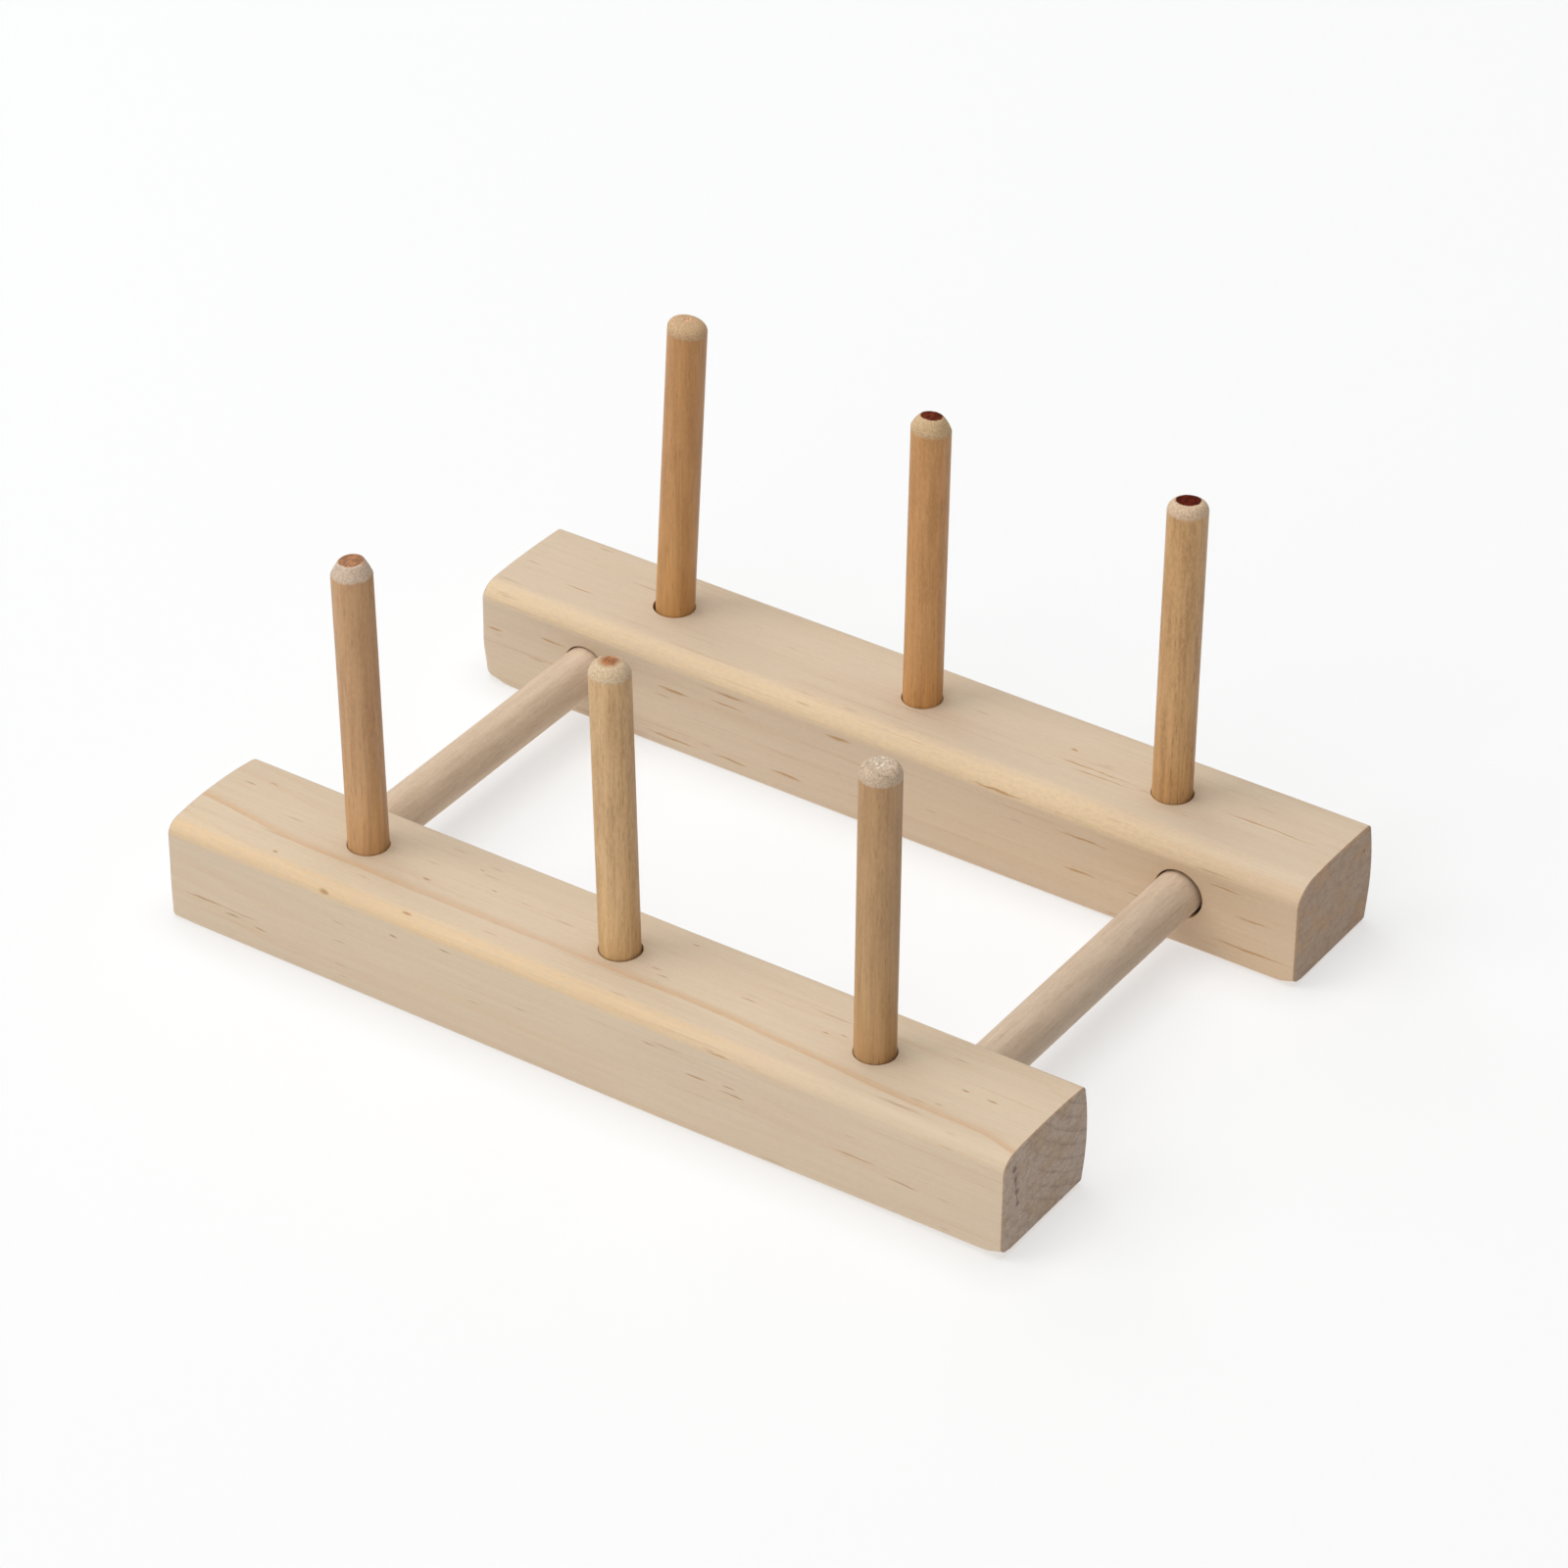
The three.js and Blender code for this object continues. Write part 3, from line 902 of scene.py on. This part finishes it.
# For each peg: its wood near the middle and near the foot, and its sanded tip. The foot colour is
# painted light: lighter and oranger than the wood, as light bounced from the rail, to offset the
# shade that the rail casts on the foot. heart is the colour that shows on the flat of the tip,
# radius its size, depth how strongly it shows and soft how soft its edge is. scratch is how
# scratched the tip is, mottle the contrast of the wood, and sanded how far down from the top the
# paleness goes.
PEG_WOOD = {
    "front_peg_left": {
        "middle": paint(198, 155, 112), "foot": paint(224, 174, 118), "tip": paint(222, 203, 184),
        "heart": paint(136, 84, 46), "radius": 3.3, "depth": 0.85, "soft": 0.4, "scratch": 0.3,
        "mottle": 1.0, "sanded": 3.6,
    },
    "front_peg_middle": {
        "middle": paint(212, 174, 127), "foot": paint(234, 192, 134), "tip": paint(226, 204, 172),
        "heart": paint(136, 72, 26), "radius": 3.3, "depth": 0.85, "soft": 2.3, "scratch": 0.1,
        "mottle": 1.3, "sanded": 3.05,
    },
    "front_peg_right": {
        "middle": paint(187, 148, 104), "foot": paint(216, 170, 114), "tip": paint(216, 195, 172),
        "heart": paint(196, 176, 158), "radius": 2.6, "depth": 0.5, "soft": 0.4, "scratch": 0.75,
        "mottle": 1.0, "sanded": 3.3,
    },
    "back_peg_left": {
        "middle": paint(199, 148, 94), "foot": paint(224, 170, 105), "tip": paint(216, 184, 146),
        "heart": paint(186, 138, 108), "radius": 1.4, "depth": 0.6, "soft": 0.4, "scratch": 0.0,
        "mottle": 0.9, "sanded": 3.2,
    },
    "back_peg_middle": {
        "middle": paint(206, 154, 99), "foot": paint(226, 170, 105), "tip": paint(216, 189, 150),
        "heart": paint(84, 32, 16), "radius": 2.9, "depth": 1.0, "soft": 0.4, "scratch": 0.0,
        "mottle": 1.1, "sanded": 4.1,
    },
    "back_peg_right": {
        "middle": paint(206, 163, 112), "foot": paint(224, 172, 110), "tip": paint(226, 201, 174),
        "heart": paint(72, 18, 4), "radius": 3.2, "depth": 1.0, "soft": 0.4, "scratch": 0.0,
        "mottle": 1.5, "sanded": 2.8,
    },
}
STRETCHER_WOOD = {
    "left_stretcher": (paint(216, 193, 168), paint(210, 184, 156)),
    "right_stretcher": (paint(210, 188, 165), paint(205, 180, 153)),
}


def shade(colour, *shares):
    """A colour with its red, green and blue each scaled."""
    return (*(min(1.0, c * share) for c, share in zip(colour, shares)), 1.0)


def turned_wood(s, middle, foot_colour, foot_share, fine, long_way, contrast):
    """Colour, fibres and flecks of a dowel. long_way is the number of the axis it lies along."""

    def along(length, across):
        return tuple(length if k == long_way else across for k in range(3))

    fibre = s.noise(along(14, 0.5), fine, 4.0, 0.7)
    band = s.noise(along(55, 1.9), fine + 3, 3.0, 0.6)
    cloud = s.noise(along(13, 3.2), fine + 5, 3.0)
    speck = s.noise(along(1.6, 0.6), fine + 9, 2.0, 0.7)
    fleck = s.dashes(along(5.5, 0.7), fine + 7, 0.34, 0.45)
    colour = s.mix(foot_share, middle, foot_colour)
    for share, shares in (
        (s.ramp(band, 0.36, 0.66, 0.0, 0.5 * contrast), (0.72, 0.64, 0.55)),
        (s.ramp(cloud, 0.36, 0.66, 0.0, 0.45 * contrast), (1.15, 1.18, 1.2)),
        (s.product(fleck, 0.4 * contrast), (0.5, 0.42, 0.35)),
        (s.ramp(fibre, 0.34, 0.62, 0.3 * contrast, 0.0), (0.6, 0.52, 0.45)),
        (s.ramp(speck, 0.38, 0.68, 0.0, 0.22 * contrast), (1.3, 1.35, 1.45)),
    ):
        colour = s.mix(share, colour, shade(middle, *shares))
    return colour, fibre, fleck


def peg_wood(name, seed):
    wood = PEG_WOOD[name]
    s = Shader("wood_" + name)
    from_tip, from_axis = s.stored("from_tip"), s.stored("from_axis")
    # painted light: towards the foot the colour turns to the lighter, oranger foot colour,
    # offsetting the rail's shade there
    foot_share = s.ramp(from_tip, 38, 82)
    colour, fibre, fleck = turned_wood(
        s, wood["middle"], wood["foot"], foot_share, seed, 2, wood["mottle"]
    )
    pores = s.noise((0.5, 0.5, 0.5), seed + 21, 3.0, 0.7)
    patches = s.noise((1.6, 1.6, 1.6), seed + 25, 2.0)
    # the shaped tip is sanded pale, and the middle of its flat shows the darker heart
    ragged = s.math("MULTIPLY_ADD", patches, 0.9, s.math("SUBTRACT", from_tip, 0.45))
    worked = s.ramp(ragged, wood["sanded"] - 0.5, wood["sanded"] + 0.35, 1.0, 0.0)
    pale = s.mix(s.ramp(pores, 0.35, 0.65), shade(wood["tip"], 0.74, 0.68, 0.62), wood["tip"])
    colour = s.mix(s.product(worked, 0.88), colour, pale)
    reach = s.math("MULTIPLY_ADD", patches, 0.7, s.math("SUBTRACT", from_axis, 0.35))
    heart = s.ramp(reach, wood["radius"] - wood["soft"], wood["radius"] + 0.15, 1.0, 0.0)
    heart = s.product(s.product(heart, worked), wood["depth"])
    streak = s.noise((0.7, 1.6, 2.0), seed + 29, 2.0)
    mottled = s.mix(s.ramp(streak, 0.46, 0.6), wood["heart"], shade(wood["heart"], 2.0, 2.1, 2.1))
    colour = s.mix(heart, colour, mottled)
    # scratches follow the level lines of a slow pattern
    level = s.math("ABSOLUTE", s.math("SUBTRACT", s.noise((2.6, 2.6, 2.6), seed + 27, 1.0), 0.5))
    scratch = s.ramp(level, 0.006, 0.03, wood["scratch"], 0.0)
    scratch = s.product(scratch, s.ramp(from_tip, 0.8, 1.8, 1.0, 0.0))
    colour = s.mix(scratch, colour, paint(150, 132, 116))
    s.feed(s.surface.inputs["Specular IOR Level"], s.math("MULTIPLY_ADD", heart, -0.3, 0.4))
    roughness = s.math("MULTIPLY_ADD", worked, 0.2, s.math("MULTIPLY_ADD", fibre, 0.22, 0.4))
    height = s.math("MULTIPLY_ADD", s.product(pores, worked), 2.2, s.math("SUBTRACT", fibre, fleck))
    s.relief(height, 0.5, 0.14)
    return s.finish(colour, roughness)


def stretcher_wood(name, seed):
    middle, foot = STRETCHER_WOOD[name]
    s = Shader("wood_" + name)
    foot_share = s.noise((9, 40, 9), seed, 1.0)
    colour, fibre, fleck = turned_wood(s, middle, foot, foot_share, seed, 1, 0.65)
    roughness = s.math("MULTIPLY_ADD", fibre, 0.22, 0.5)
    s.relief(s.math("SUBTRACT", fibre, fleck), 0.5, 0.14)
    return s.finish(colour, roughness)


# ---------------------------------------------------------------- building

for rail in RAILS:
    piece = drilled_rail(rail)
    piece.data.materials.clear()
    piece.data.materials.append(pine(rail))
    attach(piece, "root")
    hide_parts(rail)

for number, (peg, tip) in enumerate(TIPS.items()):
    piece = dowel(peg + "_turned", AXES[peg], tip, 3.1 * number + 1)
    piece.data.materials.append(peg_wood(peg, 6.3 * number + 2))
    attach(piece, "root")
    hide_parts(peg)

for number, stretcher in enumerate(STRETCHERS):
    piece = dowel(stretcher + "_turned", AXES[stretcher], None, 40.0 + number)
    piece.data.materials.append(stretcher_wood(stretcher, 8.9 * number + 50))
    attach(piece, "root")
    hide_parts(stretcher)

# ---------------------------------------------------------------- studio

low, high = (Vector(corner) for corner in CAD_BOX)
base = Vector(((low.x + high.x) / 2, (low.y + high.y) / 2, low.z))
FLOOR_REACH = 6.0  # metres from the middle to each side
FLOOR_GLOW = 0.54


def add_floor():
    mesh = bpy.data.meshes.new("floor")
    ways = ((-1, -1), (1, -1), (1, 1), (-1, 1))
    corners = [(x * FLOOR_REACH, y * FLOOR_REACH, low.z) for x, y in ways]
    mesh.from_pydata(corners, [], [(0, 1, 2, 3)])
    floor = bpy.data.objects.new("floor", mesh)
    bpy.context.scene.collection.objects.link(floor)
    s = Shader("floor")
    tone = s.mix(s.noise((900, 900, 900), 1.0, 2.0), paint(170, 170, 170), paint(174, 174, 173))
    # the table glows a little, so that shadows on it are faint
    s.surface.inputs["Emission Color"].default_value = (1, 1, 1, 1)
    s.surface.inputs["Emission Strength"].default_value = FLOOR_GLOW
    mesh.materials.append(s.finish(tone, 0.9))


def add_light(name, place, size, power, colour, target):
    data = bpy.data.lights.new(name, "AREA")
    data.shape, data.size, data.energy, data.color = "DISK", size, power, colour
    light = bpy.data.objects.new(name, data)
    light.location = place
    light.rotation_mode = "QUATERNION"
    light.rotation_quaternion = (Vector(target) - Vector(place)).to_track_quat("-Z", "Y")
    bpy.context.scene.collection.objects.link(light)


def add_world():
    """A pale studio wall all round, which lights the rack only a little."""
    world = bpy.data.worlds.new("studio")
    bpy.context.scene.world = world
    world.use_nodes = True
    background = world.node_tree.nodes["Background"]
    background.inputs["Color"].default_value = (0.93, 0.93, 0.93, 1)
    seen = world.node_tree.nodes.new("ShaderNodeLightPath").outputs["Is Camera Ray"]
    strength = world.node_tree.nodes.new("ShaderNodeMapRange")
    strength.inputs["To Min"].default_value = 0.02
    strength.inputs["To Max"].default_value = 1.0
    world.node_tree.links.new(seen, strength.inputs["Value"])
    world.node_tree.links.new(strength.outputs[0], background.inputs["Strength"])


# The camera looks down at the rack from the front right.
CAMERA_AZIMUTH = math.radians(33.51)
CAMERA_HEIGHT = math.radians(34.18)
CAMERA_ROLL = math.radians(0.57)
CAMERA_DISTANCE = 1.4955
CAMERA_LENS = 143.0
CAMERA_SENSOR = 36.0
CAMERA_TARGET = Vector((-0.0046, 0.0122, 0.0300))  # from the middle of the rack's footprint


def add_camera():
    back = Vector(
        (
            math.sin(CAMERA_AZIMUTH) * math.cos(CAMERA_HEIGHT),
            -math.cos(CAMERA_AZIMUTH) * math.cos(CAMERA_HEIGHT),
            math.sin(CAMERA_HEIGHT),
        )
    )
    right = UP.cross(back).normalized()
    upward = back.cross(right)
    rolled = right * math.cos(CAMERA_ROLL) + upward * math.sin(CAMERA_ROLL)
    data = bpy.data.cameras.new("camera")
    data.lens, data.sensor_width = CAMERA_LENS, CAMERA_SENSOR
    camera = bpy.data.objects.new("camera", data)
    turned = Matrix((rolled, back.cross(rolled), back)).transposed().to_4x4()
    place = Matrix.Translation(base + CAMERA_TARGET + back * CAMERA_DISTANCE)
    camera.matrix_world = place @ turned
    bpy.context.scene.collection.objects.link(camera)
    bpy.context.scene.camera = camera


add_camera()
add_floor()
add_world()
WHITE, COOL, WARM = (1.0, 1.0, 1.0), (0.84, 0.95, 1.0), (1.0, 0.72, 0.46)
# Each light: name, place from the middle of the rack in metres, size, watts and colour.
for name, place, size, power, colour in (
    ("key", (-2.2, -1.8, 3.0), 2.8, 58.0, WHITE),
    ("top", (-0.2, 0.4, 3.8), 3.4, 108.0, WHITE),
    ("front", (0.1, -3.8, 1.6), 2.8, 45.0, WHITE),
    ("back", (-3.0, 1.4, 2.0), 2.6, 24.0, COOL),
    ("fill", (2.8, -2.4, 2.0), 3.2, 2.5, WARM),
):
    add_light(name, base + Vector(place), size, power, colour, base)
bpy.context.scene.view_settings.view_transform = "Standard"
